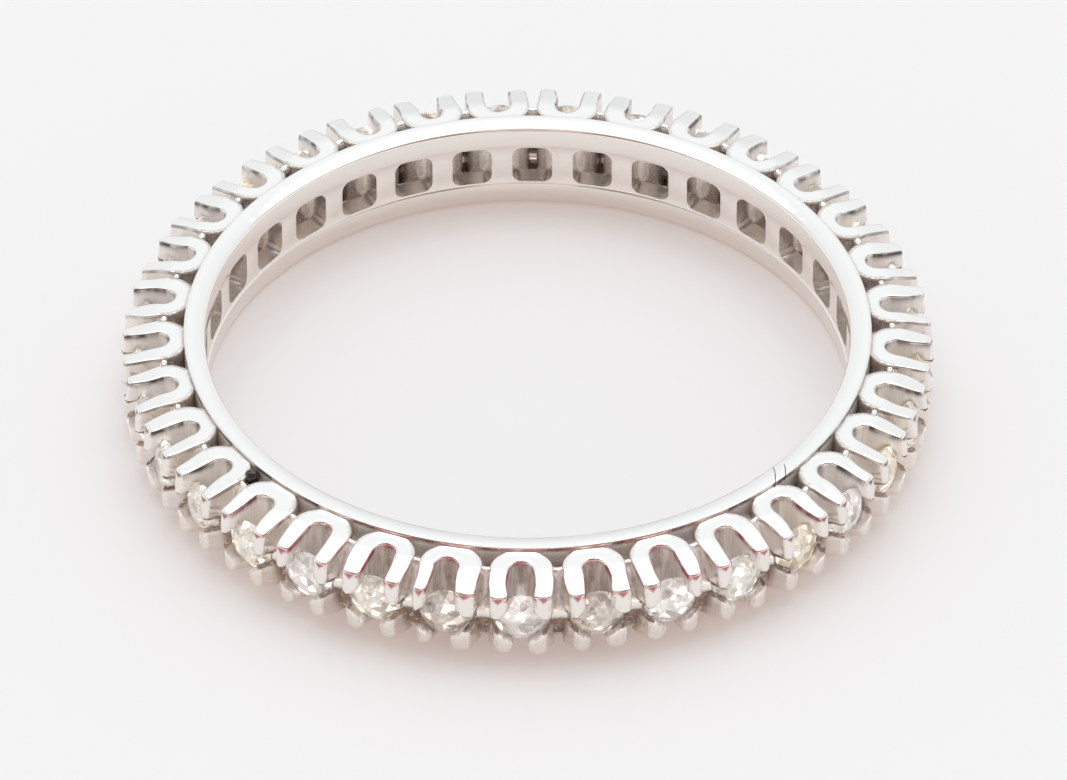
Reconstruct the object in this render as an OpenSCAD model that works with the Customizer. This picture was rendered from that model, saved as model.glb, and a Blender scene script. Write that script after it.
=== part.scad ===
// Full eternity ring in white gold, lying on its side. Two plain rails bound the finger hole, and a
// fluted crown of equal cells stands round them. Each cell grips one round diamond, whose table
// looks outward, between two upper and two lower claws.
// The finger hole's axis is Z, and the flat of the lower rail is Z = 0.

/* [Finger hole and rails] */
// Inside diameter of the ring
finger_d = 17; // [16.2:0.1:18.4]
// Height of the ring along the axis of its finger hole
ring_h = 2.6; // [2.5:0.02:2.9]
// Radial thickness of each rail
rail_t = 0.57; // [0.45:0.01:0.7]
// Height of each rail
rail_h = 0.68; // [0.55:0.01:0.8]
// Drop of each rail's inner edge below its flat
rail_bevel_h = 0.08; // [0.04:0.01:0.2]
// Radial width of that bevel
rail_bevel_w = 0.2; // [0.1:0.01:0.3]
// Radius that rounds the edges of the finger hole
rail_edge_r = 0.06; // [0.04:0.01:0.14]

/* [Pierced wall] */
// How far the wall between the rails stands back from them, inside the finger hole
wall_inset = 0.05; // [0.03:0.01:0.1]
// Height of plain wall between a rail and the openings
wall_edge_h = 0.05; // [0.02:0.01:0.1]
// Width of the openings in the wall between the rails, one between each two cells
window_w = 1.07; // [0.7:0.01:1.2]
// Radius of their corners
window_corner_r = 0.26; // [0.1:0.02:0.34]

/* [Crown cells] */
// Number of cells round the ring, each with its stone
stones = 33; // [32:1:34]
// Height of the cells above the middle plane, where they meet the rail
apex_z = 1.17; // [1.05:0.01:1.24]
// Width of a cell where it meets the rail
apex_w = 0.98; // [0.8:0.01:1.1]
// Radial length over which a cell's shoulders widen to its full width
shoulder_l = 0.66; // [0.5:0.01:0.75]
// Gap between the shoulders of neighbouring cells, at their nearest
groove_w = 0.2; // [0.12:0.01:0.3]
// Width of the slot between a cell's two upper legs, at its round end
notch_w = 0.62; // [0.5:0.01:0.72]
// Width of that slot at its open end
notch_mouth_w = 0.72; // [0.6:0.01:0.8]
// Width of the slot between the two lower legs
low_notch_w = 0.4; // [0.3:0.01:0.5]
// Wall left between the rail and the round end of the upper slot
notch_back_t = 0.36; // [0.25:0.01:0.45]

/* [Claws] */
// Radial length of a cell, from the rail to the crease over its claws
crease_l = 1.57; // [1.45:0.01:1.65]
// Height of that crease above the middle plane
crease_z = 0.93; // [0.86:0.01:1]
// Radial length of the flat top of a leg, before it slopes down to the crease
leg_flat_l = 0.72; // [0.5:0.02:1]
// Drop of the leg over that flat length
leg_flat_drop = 0.04; // [0.02:0.01:0.08]
// How far the tips of the claws stand out beyond the crease
tip_out = 0.08; // [0.02:0.01:0.15]
// Gap between the tips of the upper and the lower claws
tip_gap = 0.42; // [0.3:0.02:0.6]
// Radial length of a cell's side walls between the claws
side_wall_l = 1.16; // [1.1:0.01:1.3]

/* [Web between the cells] */
// Radial distance from the rail to the bridge that joins the shoulders of two cells
bridge_l = 0.44; // [0.32:0.01:0.5]
// Radial thickness of the bridge
bridge_t = 0.14; // [0.1:0.01:0.25]
// Height of the bridge above the middle plane
bridge_z = 1.1; // [1:0.01:1.15]
// Radial length of the web from the rail, at its lip
lip_l = 1.21; // [1:0.01:1.3]
// Height of the lip
lip_h = 0.26; // [0.16:0.02:0.4]

/* [Stones] */
// Diameter of a stone at its girdle
stone_d = 1.4; // [1.2:0.01:1.46]
// Radial distance from the rail to the girdles
girdle_l = 1.2; // [1.12:0.01:1.26]
// Thickness of a girdle
girdle_t = 0.05; // [0.02:0.01:0.1]
// Height of the crown above the girdle
crown_h = 0.22; // [0.14:0.01:0.26]
// Width of the table as a share of the stone's diameter
table_share = 0.54; // [0.45:0.01:0.62]
// Depth of the pavilion below the girdle
pavilion_h = 0.58; // [0.45:0.01:0.62]
// Play between a stone and its seat
stone_play = 0.03; // [0.02:0.01:0.05]
// Overlap of the claws over a stone's edge
claw_grip = 0.13; // [0.08:0.01:0.16]

/* [Hidden] */
// Facets of a stone's table and of its girdle
table_sides = 8;
girdle_sides = 2 * table_sides;
// Straight steps that follow a curved shoulder, a rounded edge and a window's corner
shoulder_steps = 4;
edge_steps = 2;
corner_steps = 2;
// Overlap that makes two solids one, and the overshoot of a cutter past a face
sink = 0.1;
// Overlap of the web with the side walls of the cells
web_sink = 0.05;
// Points from the bridge down to the lip, as shares of the web's reach and of its height
WEB_CURVE = [[0.14, 0.7], [0.5, 0.28]];
web_reach = 0;
web_height = 1;

half_h = ring_h / 2;
bore_r = finger_d / 2;
rail_r = bore_r + rail_t;
crease_r = rail_r + crease_l;
tip_r = crease_r + tip_out;
side_wall_r = rail_r + side_wall_l;
bridge_r = rail_r + bridge_l;
lip_r = rail_r + lip_l;
shoulder_r = rail_r + shoulder_l;
notch_r = rail_r + notch_back_t + notch_w / 2;
pitch = 360 / stones;
cell_w = 2 * shoulder_r * tan(pitch / 2) - groove_w;

girdle_r = rail_r + girdle_l;
stone_r = stone_d / 2;
table_r = stone_r * table_share;
seat_r = stone_r + stone_play;
claw_r = stone_r - claw_grip;
crown_slope = crown_h / (stone_r - table_r);
// The bore behind a stone stops short of the cell's back
seat_bore_r = notch_w / 2 + sink;
seat_bottom_r = girdle_r - pavilion_h - sink;

function stone_name(i) = str("stone_", i < 10 ? "0" : "", i);
// Direction of cell i, counted anticlockwise from the front
function cell_angle(i) = -90 + pitch * (i - 1);
function arc(centre, r, from, to, steps) =
    [for (k = [0:steps]) centre + r * [cos(from + (to - from) * k / steps), sin(from + (to - from) * k / steps)]];
function flipped(points) = [for (k = [len(points) - 1:-1:0]) [points[k].x, -points[k].y]];

// The rails and the wall between them, which stands back a little: a flat above and below, bevelled
// down to a rounded edge at the finger hole
module hoop_profile() {
    edge_z = half_h - rail_bevel_h - rail_edge_r;
    bevel = atan2(rail_bevel_h, rail_bevel_w);
    step_z = half_h - rail_h;
    upper = concat(
        [[bore_r + wall_inset, step_z], [bore_r, step_z]],
        arc([bore_r + rail_edge_r, edge_z], rail_edge_r, 180, 90 + bevel, edge_steps),
        [[bore_r + rail_bevel_w + rail_edge_r, half_h], [rail_r, half_h]]
    );
    polygon(concat(upper, flipped(upper)));
}

// Openings between the cells, cut through the wall from the finger hole
module windows() {
    side = window_w / 2 - window_corner_r;
    top = half_h - rail_h - wall_edge_h - window_corner_r;
    right = concat(
        arc([side, -top], window_corner_r, -90, 0, corner_steps),
        arc([side, top], window_corner_r, 0, 90, corner_steps)
    );
    left = [for (k = [len(right) - 1:-1:0]) [-right[k].x, right[k].y]];
    for (i = [1:stones])
        rotate([0, 0, cell_angle(i) + pitch / 2])
            translate([bore_r - sink, 0, 0])
                rotate([90, 0, 90])
                    linear_extrude(rail_t + 2 * sink) polygon(concat(right, left));
}

// One cell from above: curved shoulders that spring from the rail, then straight sides
module cell_plan() {
    shoulder = [for (k = [0:shoulder_steps]) let (a = 90 * k / shoulder_steps)
        [rail_r + shoulder_l * k / shoulder_steps, apex_w / 2 + (cell_w - apex_w) / 2 * sin(a)]];
    side = concat([[rail_r - sink, apex_w / 2]], shoulder, [[tip_r + sink, cell_w / 2]]);
    polygon(concat(side, flipped(side)));
}

// Slot between the two legs of one cell, round at its back
module notch_plan(back_w, mouth_w) {
    mouth_r = tip_r + 2 * sink;
    translate([notch_r, 0]) circle(d = back_w, $fn = 48);
    polygon([[notch_r, back_w / 2], [mouth_r, mouth_w / 2], [mouth_r, -mouth_w / 2], [notch_r, -back_w / 2]]);
}

// Outline of the cells beside the axis: legs above and below, and the gap between their tips
module cell_profile() {
    upper = [
        [rail_r - 2 * sink, apex_z],
        [rail_r, apex_z],
        [rail_r + leg_flat_l, apex_z - leg_flat_drop],
        [crease_r, crease_z],
        [tip_r, tip_gap / 2],
        [side_wall_r, tip_gap / 2]
    ];
    polygon(concat(upper, flipped(upper)));
}

// Web between the cells: a bridge at each rail, and a curve down to the lip on the middle plane
module web_profile() {
    reach = lip_r - bridge_r - bridge_t;
    upper = concat(
        [[bridge_r, bridge_z], [bridge_r + bridge_t, bridge_z]],
        [for (p = WEB_CURVE) [bridge_r + bridge_t + reach * p[web_reach], lip_h / 2 + (bridge_z - lip_h / 2) * p[web_height]]],
        [[lip_r, lip_h / 2]]
    );
    polygon(concat(upper, flipped(upper)));
}

// Seat of one stone: its own outline with play, under the edge that the claws turn over it
module seat() {
    grip_z = girdle_r + girdle_t / 2 + stone_play + crown_slope * (seat_r - claw_r);
    rotate([0, 90, 0])
        rotate_extrude($fn = 48)
            polygon([
                [0, seat_bottom_r],
                [seat_bore_r, seat_bottom_r],
                [seat_bore_r, girdle_r - pavilion_h * seat_bore_r / stone_r],
                [seat_r, girdle_r - girdle_t / 2 - stone_play],
                [seat_r, girdle_r + girdle_t / 2 + stone_play],
                [claw_r, grip_z],
                [claw_r, tip_r + sink],
                [0, tip_r + sink]
            ]);
}

module each_cell() {
    for (i = [1:stones]) rotate([0, 0, cell_angle(i)]) children();
}

module hoop() {
    difference() {
        rotate_extrude($fn = 96) hoop_profile();
        windows();
    }
}

// The narrow slot of the lower legs runs the whole height, and the upper half is cut out wider
module cells() {
    difference() {
        intersection() {
            linear_extrude(ring_h, center = true)
                difference() {
                    each_cell() cell_plan();
                    each_cell() notch_plan(low_notch_w, low_notch_w);
                }
            rotate_extrude($fn = 96) cell_profile();
        }
        linear_extrude(half_h) each_cell() notch_plan(notch_w, notch_mouth_w);
        each_cell() seat();
    }
}

// The web fills only the grooves, so the slots of the cells stay open through the ring
module web() {
    intersection() {
        linear_extrude(ring_h, center = true)
            difference() {
                circle(r = lip_r + sink, $fn = 96);
                each_cell() translate([0, web_sink - cell_w / 2]) square([tip_r, cell_w - 2 * web_sink]);
            }
        rotate_extrude($fn = 96) web_profile();
    }
}

module setting() {
    color("gainsboro")
        translate([0, 0, half_h]) {
            hoop();
            cells();
            web();
        }
}

// Single-cut diamond with its table outward: a facet on each edge of the table and two more beside
// it down to the girdle, and a pavilion that runs to a point
module stone(i) {
    table_z = girdle_r + girdle_t / 2 + crown_h;
    rings = [
        for (s = [0:table_sides - 1]) [table_r * cos(s * 360 / table_sides), table_r * sin(s * 360 / table_sides), table_z],
        for (level = [1, -1], s = [0:girdle_sides - 1])
            [stone_r * cos(s * 360 / girdle_sides), stone_r * sin(s * 360 / girdle_sides), girdle_r + level * girdle_t / 2],
        [0, 0, girdle_r - girdle_t / 2 - pavilion_h]
    ];
    upper = table_sides;
    lower = upper + girdle_sides;
    culet = lower + girdle_sides;
    function next(s, sides) = (s + 1) % sides;
    faces = [
        [for (s = [table_sides - 1:-1:0]) s],
        for (s = [0:table_sides - 1]) let (a = s, b = next(s, table_sides), g = 2 * s, h = g + 1, j = next(h, girdle_sides))
            each [[a, b, upper + h], [a, upper + h, upper + g], [b, upper + j, upper + h]],
        for (s = [0:girdle_sides - 1]) let (t = next(s, girdle_sides))
            each [[upper + s, upper + t, lower + t, lower + s], [lower + s, lower + t, culet]]
    ];
    color("aliceblue")
        translate([0, 0, half_h])
            rotate([0, 0, cell_angle(i)])
                rotate([0, 90, 0])
                    polyhedron(rings, faces);
}

setting();
for (i = [1:stones]) stone(i);
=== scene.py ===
"""Looks of a full eternity ring that lies on its side on white card.

The metal is white gold: two rails, the pierced wall between them, the crown cells with their claws
and the web between the cells. Each cell holds one old-cut diamond whose table looks outward.
Sizes are in millimetres from the middle of the ring, and Draft turns them to the frame's metres.
"""

import logging
import math
import random
from collections.abc import Sequence
from dataclasses import dataclass, field, replace
from enum import Enum
from typing import Any

import bmesh
import bpy
import numpy as np
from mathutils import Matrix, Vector


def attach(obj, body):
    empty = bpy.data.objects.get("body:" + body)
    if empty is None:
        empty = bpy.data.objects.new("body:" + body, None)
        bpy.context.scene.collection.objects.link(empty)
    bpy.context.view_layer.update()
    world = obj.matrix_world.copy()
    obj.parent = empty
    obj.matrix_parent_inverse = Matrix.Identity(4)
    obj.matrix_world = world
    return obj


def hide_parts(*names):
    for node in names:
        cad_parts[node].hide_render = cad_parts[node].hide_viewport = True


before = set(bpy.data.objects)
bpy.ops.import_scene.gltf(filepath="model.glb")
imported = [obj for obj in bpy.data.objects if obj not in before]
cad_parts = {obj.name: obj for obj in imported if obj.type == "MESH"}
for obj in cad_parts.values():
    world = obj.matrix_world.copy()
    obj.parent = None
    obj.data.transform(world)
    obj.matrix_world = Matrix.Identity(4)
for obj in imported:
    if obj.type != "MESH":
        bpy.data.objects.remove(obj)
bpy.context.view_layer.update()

LOG = logging.getLogger("eternity_ring")
MM = 0.001
# Mesh attribute: compound with painted edge shade, grime with painted shade, and cast skin.
STAINS_AND_SHADE = "stains_and_shade"
CLAW_PLACE = "claw_place"
HAND_SEED = 33
# Points of a piece that lie nearer than this become one.
MERGE_MM = 0.0005
# Code of the points at the top or the bottom of a cell wall and on its rounded edges, see Loop.
EDGE = 9.0


@dataclass(frozen=True)
class RingSizes:
    """The ring's driving sizes in millimetres, the same as those of its solids."""

    cells: int = 33
    bore_r: float = 8.5
    half_h: float = 1.3
    rail_r: float = 9.07
    wall_inset: float = 0.05
    window_half_w: float = 0.535
    window_half_h: float = 0.57
    window_corner_r: float = 0.26
    apex_z: float = 1.17
    apex_half_w: float = 0.49
    shoulder_l: float = 0.66
    cell_half_w: float = 0.829
    notch_r: float = 9.74
    notch_half_w: float = 0.31
    mouth_half_w: float = 0.36
    low_notch_half_w: float = 0.2
    leg_flat_l: float = 0.72
    leg_flat_drop: float = 0.04
    crease_r: float = 10.64
    crease_z: float = 0.93
    tip_r: float = 10.72
    tip_z: float = 0.21
    side_wall_r: float = 10.23
    girdle_r: float = 10.27
    stone_r: float = 0.7
    girdle_t: float = 0.05
    crown_h: float = 0.22
    table_share: float = 0.54
    pavilion_h: float = 0.58

    @property
    def pitch(self) -> float:
        """Angle from one cell to the next, in radians."""
        return 2 * math.pi / self.cells

    def cell_angle(self, number: float) -> float:
        """Direction of a cell from the middle of the ring.

        Args:
            number: the cell's number, 1 at the front and rising anticlockwise. Halves are grooves.

        Returns:
            The angle from +X in radians.
        """
        return -math.pi / 2 + self.pitch * (number - 1)


SIZES = RingSizes()


# Two places in a pattern, and the amounts of what it controls there.
Range = tuple[float, float, float, float]
# What an input takes: an output that is linked to it, a value, or nothing.
Feed = bpy.types.NodeSocket | Sequence[float] | float | None

# A mix node has inputs for plain values and, under the same names, for colours. These are their places.
FACTOR, VALUE_A, VALUE_B, COLOUR_A, COLOUR_B = 0, 2, 3, 6, 7
COLOUR_OUT = 2


def linear(hex_colour: str, strength: float = 1.0) -> tuple[float, float, float, float]:
    """Turns an sRGB colour into the linear values that shaders take.

    Args:
        hex_colour: the colour as "#RRGGBB".
        strength: how brightly it glows, or one for the colour of a surface.

    Returns:
        Linear red, green, blue and an alpha of one.
    """
    parts = [int(hex_colour[i : i + 2], 16) / 255 for i in (1, 3, 5)]
    red, green, blue = (c / 12.92 if c <= 0.04045 else ((c + 0.055) / 1.055) ** 2.4 for c in parts)
    return red * strength, green * strength, blue * strength, 1.0


def add_node(
    tree: bpy.types.NodeTree,
    kind: str,
    inputs: Sequence[Feed] | dict[str | int, Feed] = (),
    **settings: Any,
) -> bpy.types.Node:
    """Adds a node with its settings, values and links.

    Args:
        tree: the node tree that gets the node.
        kind: Blender's name for the node's type, without "ShaderNode".
        inputs: an output to link or a value for each input, in their order, or by name or place.
            None leaves an input as it is.
        settings: properties of the node itself.

    Returns:
        The new node.
    """
    node = tree.nodes.new(f"ShaderNode{kind}")
    for name, value in settings.items():
        setattr(node, name, value)
    for place, feed in inputs.items() if isinstance(inputs, dict) else enumerate(inputs):
        if isinstance(feed, bpy.types.NodeSocket):
            tree.links.new(feed, node.inputs[place])
        elif feed is not None:
            node.inputs[place].default_value = feed
    return node


def scale_of(size_mm: float) -> float:
    """The scale of a texture whose patches are about a given size."""
    return 1 / (size_mm * MM)


class Finish:
    """What all finishes share: a material with a name, whose nodes each finish adds."""

    name: str

    def shader(self, tree: bpy.types.NodeTree) -> bpy.types.Node:
        """Adds the nodes of the finish and returns its shader."""
        raise NotImplementedError

    def material(self) -> bpy.types.Material:
        """Builds the finish.

        Returns:
            The material.
        """
        made = bpy.data.materials.new(self.name)
        made.use_nodes = True
        made.node_tree.nodes.clear()
        shader = self.shader(made.node_tree)
        add_node(made.node_tree, "OutputMaterial", {"Surface": shader.outputs["BSDF"]})
        return made


@dataclass(frozen=True)
class WhiteGold(Finish):
    """White gold, polished where a buff reaches and left as cast, matt and grey, where it doesn't.

    The polished faces are a bright mirror with fine scratches and a faint ripple from hand filing. The
    cast skin inside the slots is duller, with file streaks that run along the ring's axis. It is a
    warm grey at the freshly buffed front and paler, more matt and worn elsewhere. Thin dark lines
    along the filed edges are red polishing compound at the front and grey painted shade elsewhere.
    The nicks over the claws are not cut in the mesh but painted the same way: red compound at the
    front, grey painted shade elsewhere. Brown grime sits round the stones, in patches, with darker
    clumps of dirt; below the middle plane, between the claws and under the stones it is painted shade
    as well, and at the back of each slot it is a painted dark reflection of the lens.

    A relief is its strength and its depth in millimetres.
    """

    name: str
    polished: str = "#F4EEE8"
    skin_dark: str = "#D0C5BF"
    skin_worn: str = "#F2ECE8"
    skin_light: str = "#FEFAF7"
    # Compound and painted edge shade: red compound at the front, grey painted shade elsewhere.
    red_compound: str = "#AE4858"
    grey_edge_shade: str = "#5E5450"
    # Grime and painted shade share these browns: grime round the stones, painted shade in the recesses below
    # the middle plane, between the claws and under the stones.
    grime_and_shade_dark: str = "#6E4E3B"
    grime_and_shade_light: str = "#BFA28D"
    dirt: str = "#4E3428"
    scratch_mm: float = 0.04
    ripple_mm: float = 0.35
    streak_mm: float = 0.075
    streak_scale: tuple[float, float, float] = (1.0, 1.0, 0.14)
    grime_and_shade_mm: float = 0.09
    dirt_mm: float = 1.3
    red_y_mm: tuple[float, float] = (-6.0, -8.6)
    fresh_y_mm: tuple[float, float] = (-7.4, -9.4)
    skin_matt: tuple[float, float] = (0.92, 0.6)
    streak_shades: Range = (0.32, 0.68, 0.0, 1.0)
    line_breaks: Range = (0.3, 0.6, 0.25, 1.0)
    grime_and_shade_breaks: Range = (0.36, 0.52, 0.35, 1.0)
    grime_and_shade_tones: Range = (0.45, 0.68, 0.0, 1.0)
    dirt_clumps: Range = (0.55, 0.66, 0.0, 0.8)
    nick_inside: Range = (1.15, 0.55, 0.0, 0.85)
    nick_below: Range = (-0.12, 0.04, 0.0, 1.0)
    roughness: Range = (0.3, 0.7, 0.042, 0.105)
    skin_roughness: Range = (0.3, 0.7, 0.27, 0.432)
    grime_and_shade_roughness: float = 0.25
    ripple_relief: tuple[float, float] = (0.2, 0.035)
    streak_relief: tuple[float, float] = (0.3, 0.01875)
    scratch_relief: tuple[float, float] = (0.05, 0.004)

    def shader(self, tree: bpy.types.NodeTree) -> bpy.types.Node:
        """Adds the nodes of the finish, which reads the stains and the claws' places from the mesh.

        Args:
            tree: the material's node tree.

        Returns:
            The shader.
        """
        place = add_node(tree, "TexCoord").outputs["Object"]
        depth = add_node(tree, "SeparateXYZ", (place,)).outputs["Y"]
        red, fresh = (
            add_node(tree, "MapRange", (depth, start * MM, end * MM)).outputs[0]
            for start, end in (self.red_y_mm, self.fresh_y_mm)
        )
        filed = add_node(tree, "Mapping", {"Vector": place, "Scale": self.streak_scale}).outputs["Vector"]
        scratches, ripple, specks, clumps, streaks = (
            add_node(
                tree, "TexNoise", {"Vector": at, "Scale": scale_of(size), "Detail": detail}
            ).outputs["Fac"]
            for at, size, detail in (
                (place, self.scratch_mm, 3.0),
                (place, self.ripple_mm, 1.0),
                (place, self.grime_and_shade_mm, 4.0),
                (place, self.dirt_mm, 0.0),
                (filed, self.streak_mm, 2.0),
            )
        )
        stains_and_shade = add_node(tree, "Attribute", attribute_name=STAINS_AND_SHADE).outputs["Vector"]
        line, grime_and_shade, skin = add_node(tree, "SeparateXYZ", (stains_and_shade,)).outputs
        broken, in_patches, streaks_and_painted_reflection, shade, dirty = (
            add_node(tree, "MapRange", (pattern, *reach)).outputs[0]
            for pattern, reach in (
                (ripple, self.line_breaks),
                (specks, self.grime_and_shade_breaks),
                (streaks, self.streak_shades),
                (specks, self.grime_and_shade_tones),
                (clumps, self.dirt_clumps),
            )
        )
        # Compound and painted edge shade: dark lines along the edges, broken into stretches, and the painted
        # nicks.
        line = add_node(tree, "Math", (line, broken), operation="MULTIPLY").outputs[0]
        compound_and_edge_shade = add_node(tree, "Math", (line, self._nick(tree)), operation="MAXIMUM").outputs[0]
        # Grime and painted shade, broken into patches.
        grime_and_shade = add_node(tree, "Math", (grime_and_shade, in_patches), operation="MULTIPLY").outputs[0]
        colour = self._colour(tree, red, fresh, streaks_and_painted_reflection, shade, dirty, skin, grime_and_shade, compound_and_edge_shade)

        bright, dull = (
            add_node(tree, "MapRange", (scratches, *reach)).outputs[0]
            for reach in (self.roughness, self.skin_roughness)
        )
        rough = add_node(tree, "Mix", {FACTOR: skin, VALUE_A: bright, VALUE_B: dull}).outputs[0]
        rough = add_node(
            tree, "Math", (grime_and_shade, self.grime_and_shade_roughness, rough), operation="MULTIPLY_ADD"
        ).outputs[0]
        matt = add_node(tree, "MapRange", (fresh, 0.0, 1.0, *self.skin_matt)).outputs[0]
        matt = add_node(tree, "Math", (skin, matt), operation="MULTIPLY").outputs[0]
        covered = add_node(tree, "Math", (matt, grime_and_shade), operation="MAXIMUM").outputs[0]
        bare = add_node(tree, "Math", (1.0, covered), operation="SUBTRACT").outputs[0]
        cut = add_node(tree, "Math", (streaks, skin), operation="MULTIPLY").outputs[0]
        relief = None
        for height, (strength, depth_mm) in (
            (ripple, self.ripple_relief),
            (cut, self.streak_relief),
            (scratches, self.scratch_relief),
        ):
            feeds = {"Height": height, "Strength": strength, "Distance": depth_mm * MM, "Normal": relief}
            relief = add_node(tree, "Bump", feeds).outputs["Normal"]
        return add_node(
            tree,
            "BsdfPrincipled",
            {"Base Color": colour, "Metallic": bare, "Roughness": rough, "Normal": relief},
        )

    def _colour(
        self,
        tree: bpy.types.NodeTree,
        red: bpy.types.NodeSocket,
        fresh: bpy.types.NodeSocket,
        streaks_and_painted_reflection: bpy.types.NodeSocket,
        shade: bpy.types.NodeSocket,
        dirty: bpy.types.NodeSocket,
        skin: bpy.types.NodeSocket,
        grime_and_shade: bpy.types.NodeSocket,
        compound_and_edge_shade: bpy.types.NodeSocket,
    ) -> bpy.types.NodeSocket:
        """Lays the cast skin, the grime with its painted shade and the compound with its painted edge shade
        over the polished metal.

        Args:
            tree: the material's node tree.
            red: where the compound is red.
            fresh: where the cast skin was buffed lately.
            streaks_and_painted_reflection: where the skin has been filed bright.
            shade: where the grime and its painted shade are lighter.
            dirty: where dirt clumps over it.
            skin: where the cast skin shows.
            grime_and_shade: where grime and painted shade sit.
            compound_and_edge_shade: where compound and painted edge shade sit.

        Returns:
            The colour.
        """
        compound_and_edge_shade_colour, skin_colour, grime_and_shade_colour = (
            add_node(
                tree,
                "Mix",
                {FACTOR: share, COLOUR_A: linear(one), COLOUR_B: linear(other)},
                data_type="RGBA",
            ).outputs[COLOUR_OUT]
            for share, one, other in (
                (red, self.grey_edge_shade, self.red_compound),
                (fresh, self.skin_worn, self.skin_dark),
                (shade, self.grime_and_shade_dark, self.grime_and_shade_light),
            )
        )
        skin_colour, grime_and_shade_colour = (
            add_node(
                tree, "Mix", {FACTOR: share, COLOUR_A: under, COLOUR_B: linear(over)}, data_type="RGBA"
            ).outputs[COLOUR_OUT]
            for share, under, over in (
                (streaks_and_painted_reflection, skin_colour, self.skin_light),
                (dirty, grime_and_shade_colour, self.dirt),
            )
        )
        colour: Feed = linear(self.polished)
        for share, over in ((skin, skin_colour), (grime_and_shade, grime_and_shade_colour), (compound_and_edge_shade, compound_and_edge_shade_colour)):
            colour = add_node(
                tree, "Mix", {FACTOR: share, COLOUR_A: colour, COLOUR_B: over}, data_type="RGBA"
            ).outputs[COLOUR_OUT]
        return colour

    def _nick(self, tree: bpy.types.NodeTree) -> bpy.types.NodeSocket:
        """Marks the three-cornered file nick under the crease of a claw. The mesh has no nick; its dark
        mark is painted, red compound at the front and grey painted shade elsewhere.

        Args:
            tree: the material's node tree.

        Returns:
            The mask.
        """
        place = add_node(tree, "Attribute", attribute_name=CLAW_PLACE).outputs["Vector"]
        across, below, near = add_node(tree, "SeparateXYZ", (place,)).outputs
        across = add_node(tree, "Math", (across,), operation="ABSOLUTE").outputs[0]
        spread = add_node(tree, "Math", (across, below), operation="ADD").outputs[0]
        inside = add_node(tree, "MapRange", (spread, *self.nick_inside)).outputs[0]
        under = add_node(tree, "MapRange", (below, *self.nick_below)).outputs[0]
        mask = add_node(tree, "Math", (inside, under), operation="MULTIPLY").outputs[0]
        return add_node(tree, "Math", (mask, near), operation="MULTIPLY").outputs[0]


class StoneTint(Enum):
    """Body colours of the old-cut diamonds."""

    CLEAR = "#FDFCFB"
    FAINT_GREEN = "#FAFBF5"
    FAINT_YELLOW = "#FDFAF2"
    CHAMPAGNE = "#FBF4E4"
    SMOKY = "#E7E1DB"


@dataclass(frozen=True)
class OldCutDiamond(Finish):
    """Diamond as small old stones show it: strongly bent light, and clouds inside that scatter it.

    The clouds make each stone a soft warm white. What its facets send back is painted: sharp
    patches of differing brightness, a few of them painted pure-white glints. The patches glow
    though a stone is no lamp; the glow stands in for light that the cut gathers from all sides.
    """

    tint: StoneTint
    refraction: float = 2.417
    cloud_mm: float = 0.3
    clearness: Range = (0.35, 0.65, 0.7, 0.3)
    # Size and painted brightness of the facet patches.
    patch_mm: float = 0.2
    painted_facet_shades: tuple[tuple[float, str], ...] = ((0.05, "#ABA49F"), (0.3, "#DAD6D3"), (0.85, "#F9F7F5"))
    # Painted glow: the brightest patches glow strongly, as glints.
    painted_glint: Range = (0.86, 0.88, 0.13, 0.75)

    @property
    def name(self) -> str:
        """The material's name."""
        return f"old_cut_diamond_{self.tint.name.lower()}"

    def shader(self, tree: bpy.types.NodeTree) -> bpy.types.Node:
        """Adds the nodes of the finish for one body colour.

        Args:
            tree: the material's node tree.

        Returns:
            The shader.
        """
        place = add_node(tree, "TexCoord").outputs["Object"]
        clouds = add_node(
            tree, "TexNoise", {"Vector": place, "Scale": scale_of(self.cloud_mm), "Detail": 3.0}
        ).outputs["Fac"]
        # Painted facets: each patch gets its own painted brightness.
        patches = add_node(tree, "TexVoronoi", {"Vector": place, "Scale": scale_of(self.patch_mm)})
        patch = add_node(tree, "SeparateXYZ", (patches.outputs["Color"],)).outputs["X"]
        ramp = add_node(tree, "ValToRGB", (patch,))
        elements = ramp.color_ramp.elements
        elements.remove(elements[-1])
        elements[0].position, elements[0].color = self.painted_facet_shades[0][0], linear(self.painted_facet_shades[0][1])
        for stop, colour in self.painted_facet_shades[1:]:
            elements.new(stop).color = linear(colour)
        # The tint times the painted facet brightness; it colours the stone and its painted glow.
        body = add_node(
            tree,
            "Mix",
            {FACTOR: 1.0, COLOUR_A: ramp.outputs["Color"], COLOUR_B: linear(self.tint.value)},
            data_type="RGBA",
            blend_type="MULTIPLY",
        ).outputs[COLOUR_OUT]
        clear = add_node(tree, "MapRange", (clouds, *self.clearness)).outputs[0]
        # Painted glow, strongest in the glint patches, though the stone is no lamp.
        glow = add_node(tree, "MapRange", (patch, *self.painted_glint)).outputs[0]
        return add_node(
            tree,
            "BsdfPrincipled",
            {
                "Base Color": body,
                "Roughness": 0.0,
                "IOR": self.refraction,
                "Transmission Weight": clear,
                "Emission Color": body,
                "Emission Strength": glow,
            },
        )


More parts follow.
